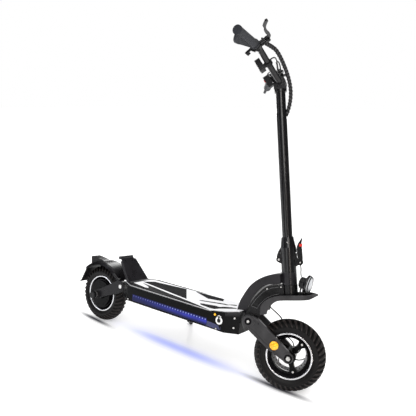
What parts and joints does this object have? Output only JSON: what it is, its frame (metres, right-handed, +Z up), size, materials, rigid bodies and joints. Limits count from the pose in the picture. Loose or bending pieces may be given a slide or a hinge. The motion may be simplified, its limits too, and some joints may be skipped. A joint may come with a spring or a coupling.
{
  "type": "electric kick scooter",
  "caption": "Folding electric kick scooter with swing-arm suspension, wide lit deck, curved neck, raised handlebar with palm grips, head lamp and rear kick plate.",
  "frame": {"origin": "middle of the footprint on the floor", "axes": "+X forward along the deck, +Y to the rider's left, +Z up from the floor; the scooter leans left on its side stand"},
  "size_m": [1.2154, 0.619, 1.256],
  "materials": {
    "black_paint": "satin black paint",
    "stem_paint": "satin black anodised",
    "black_plastic": "fine grain",
    "tyre": "moulded rubber",
    "grip_rubber": "soft rubber",
    "deck_print": "printed mat",
    "polished_rim": "turned edge",
    "disc_steel": "ground",
    "zinc_steel": "zinc plated",
    "amber": "clear amber",
    "led_blue": "lit blue strip",
    "tail_red": "clear red",
    "lens": "clear",
    "red_plastic": "moulded",
    "white_plastic": "moulded",
    "battery": "shrink wrap"
  },
  "bodies": {
    "deck": {"deck_frame": "black_paint", "deck_lid": "black_paint", "grip_pads": "grip_rubber", "led_strips": "led_blue", "power_pack": "battery", "front_casting": "black_paint", "front_neck": "black_paint", "kick_plate": "black_paint", "deck_mat": "deck_print", "charge_port": "white_plastic", "side_lamps": "amber", "deck_screws": "zinc_steel", "rear_pivot_shaft": "zinc_steel", "stand_bracket": "black_paint"},
    "rear_arm": {"rear_arm": "black_paint", "rear_axle": "zinc_steel", "rear_axle_caps": "black_plastic", "rear_caliper": "black_paint", "rear_mudguard": "black_plastic", "tail_light_lens": "tail_red", "mud_flap": "black_plastic"},
    "rear_wheel": {"motor_shell": "black_paint", "rear_rim": "polished_rim", "rear_tyre": "tyre", "rear_disc": "disc_steel"},
    "stand": {"side_stand": "black_paint"},
    "port_cap": {"port_cap": "black_plastic"},
    "steering": {"fork": "black_paint", "fold_base": "black_paint", "steer_pins": "zinc_steel", "front_mudguard": "black_plastic", "lamp_bracket": "black_paint"},
    "front_arm": {"front_arm": "black_paint", "front_axle": "zinc_steel", "arm_reflectors": "amber", "front_caliper": "black_paint"},
    "front_wheel": {"front_tyre": "tyre", "front_rim": "polished_rim", "front_hub": "black_paint", "front_disc": "disc_steel"},
    "head_lamp": {"lamp_body": "black_plastic", "lamp_lens": "lens"},
    "latch": {"latch_lever": "black_paint"},
    "latch_catch": {"latch_catch": "red_plastic"},
    "stem": {"stem_foot": "black_paint", "stem_tube": "stem_paint", "bar_clamp": "black_paint", "handlebar": "black_paint", "grips": "grip_rubber", "lever_brackets": "black_paint", "throttle_housing": "black_plastic", "display": "black_plastic", "switch_pod": "black_plastic", "cable_loom": "black_plastic"},
    "brake_lever_left": {"brake_lever_left": "black_paint"},
    "brake_lever_right": {"brake_lever_right": "black_paint"},
    "throttle": {"throttle_lever": "black_plastic"},
    "display_button": {"display_button": "black_plastic"},
    "horn_button": {"horn_button": "red_plastic"},
    "light_switch": {"light_switch": "black_plastic"}
  },
  "joints": [
    {"name": "rear_suspension", "type": "hinge", "parent": "deck", "child": "rear_arm", "pos_m": [-0.31496, -0.14424, 0.19701], "axis": [-0.0004, 0.9839, -0.1788], "range_deg": [0, 12], "stiffness_Nm_per_rad": 150, "springref_deg": -11.46},
    {"name": "rear_wheel_spin", "type": "hinge", "parent": "rear_arm", "child": "rear_wheel", "pos_m": [-0.4711, -0.1572, 0.12599], "axis": [-0.0004, 0.9839, -0.1788], "continuous": true},
    {"name": "stand_fold", "type": "hinge", "parent": "deck", "child": "stand", "pos_m": [-0.05509, -0.07071, 0.1313], "axis": [0.0012, 0.8034, 0.5955], "range_deg": [0, 70]},
    {"name": "port_cap_hinge", "type": "hinge", "parent": "deck", "child": "port_cap", "pos_m": [0.23511, -0.24391, 0.23131], "axis": [-1, 0, 0.002], "range_deg": [0, 110]},
    {"name": "steering", "type": "hinge", "parent": "deck", "child": "steering", "pos_m": [0.4979, -0.1572, 0.12406], "axis": [-0.183, 0.1757, 0.9673], "range_deg": [-62, 22]},
    {"name": "front_suspension", "type": "hinge", "parent": "steering", "child": "front_arm", "pos_m": [0.33786, -0.18857, 0.2339], "axis": [0.3366, -0.9132, 0.2296], "range_deg": [0, 12], "stiffness_Nm_per_rad": 150, "springref_deg": -11.46},
    {"name": "front_wheel_spin", "type": "hinge", "parent": "front_arm", "child": "front_wheel", "pos_m": [0.48566, -0.16147, 0.125], "axis": [-0.3366, 0.9132, -0.2296], "continuous": true},
    {"name": "lamp_tilt", "type": "hinge", "parent": "steering", "child": "head_lamp", "pos_m": [0.49813, -0.09504, 0.3763], "axis": [0.1202, -0.9725, 0.1994], "range_deg": [-5, 20]},
    {"name": "fold", "type": "hinge", "parent": "steering", "child": "stem", "pos_m": [0.40463, -0.10906, 0.45227], "axis": [0.3366, -0.9132, 0.2296], "range_deg": [0, 78]},
    {"name": "latch", "type": "hinge", "parent": "steering", "child": "latch", "pos_m": [0.47611, -0.0836, 0.44876], "axis": [-0.3366, 0.9132, -0.2296], "range_deg": [0, 60]},
    {"name": "latch_catch_slide", "type": "slide", "parent": "latch", "child": "latch_catch", "axis": [0.3366, -0.9132, 0.2296], "range_m": [0, 0.002], "stiffness_N_per_m": 60, "springref_m": -0.002},
    {"name": "left_brake", "type": "hinge", "parent": "stem", "child": "brake_lever_left", "pos_m": [0.22406, 0.19116, 1.12674], "axis": [-0.502, -0.0572, 0.863], "range_deg": [0, 14], "stiffness_Nm_per_rad": 0.8, "springref_deg": -6.88},
    {"name": "right_brake", "type": "hinge", "parent": "stem", "child": "brake_lever_right", "pos_m": [0.34529, -0.13778, 1.20944], "axis": [0.5568, -0.0915, -0.8256], "range_deg": [0, 14], "stiffness_Nm_per_rad": 0.8, "springref_deg": -6.88},
    {"name": "throttle", "type": "hinge", "parent": "stem", "child": "throttle", "pos_m": [0.31414, -0.16485, 1.19142], "axis": [0.1324, -0.9714, 0.197], "range_deg": [0, 25], "stiffness_Nm_per_rad": 0.15, "springref_deg": -8.59},
    {"name": "display_button_press", "type": "slide", "parent": "stem", "child": "display_button", "axis": [0.7183, 0.4067, 0.5645], "range_m": [0, 0.0012], "stiffness_N_per_m": 600, "springref_m": -0.0004},
    {"name": "horn_press", "type": "slide", "parent": "stem", "child": "horn_button", "axis": [0.7183, 0.4067, 0.5645], "range_m": [0, 0.0012], "stiffness_N_per_m": 600, "springref_m": -0.0004},
    {"name": "light_rocker", "type": "hinge", "parent": "stem", "child": "light_switch", "pos_m": [0.2172, 0.10343, 1.07136], "axis": [-0.3366, 0.9132, -0.2296], "range_deg": [-7, 7]}
  ]
}
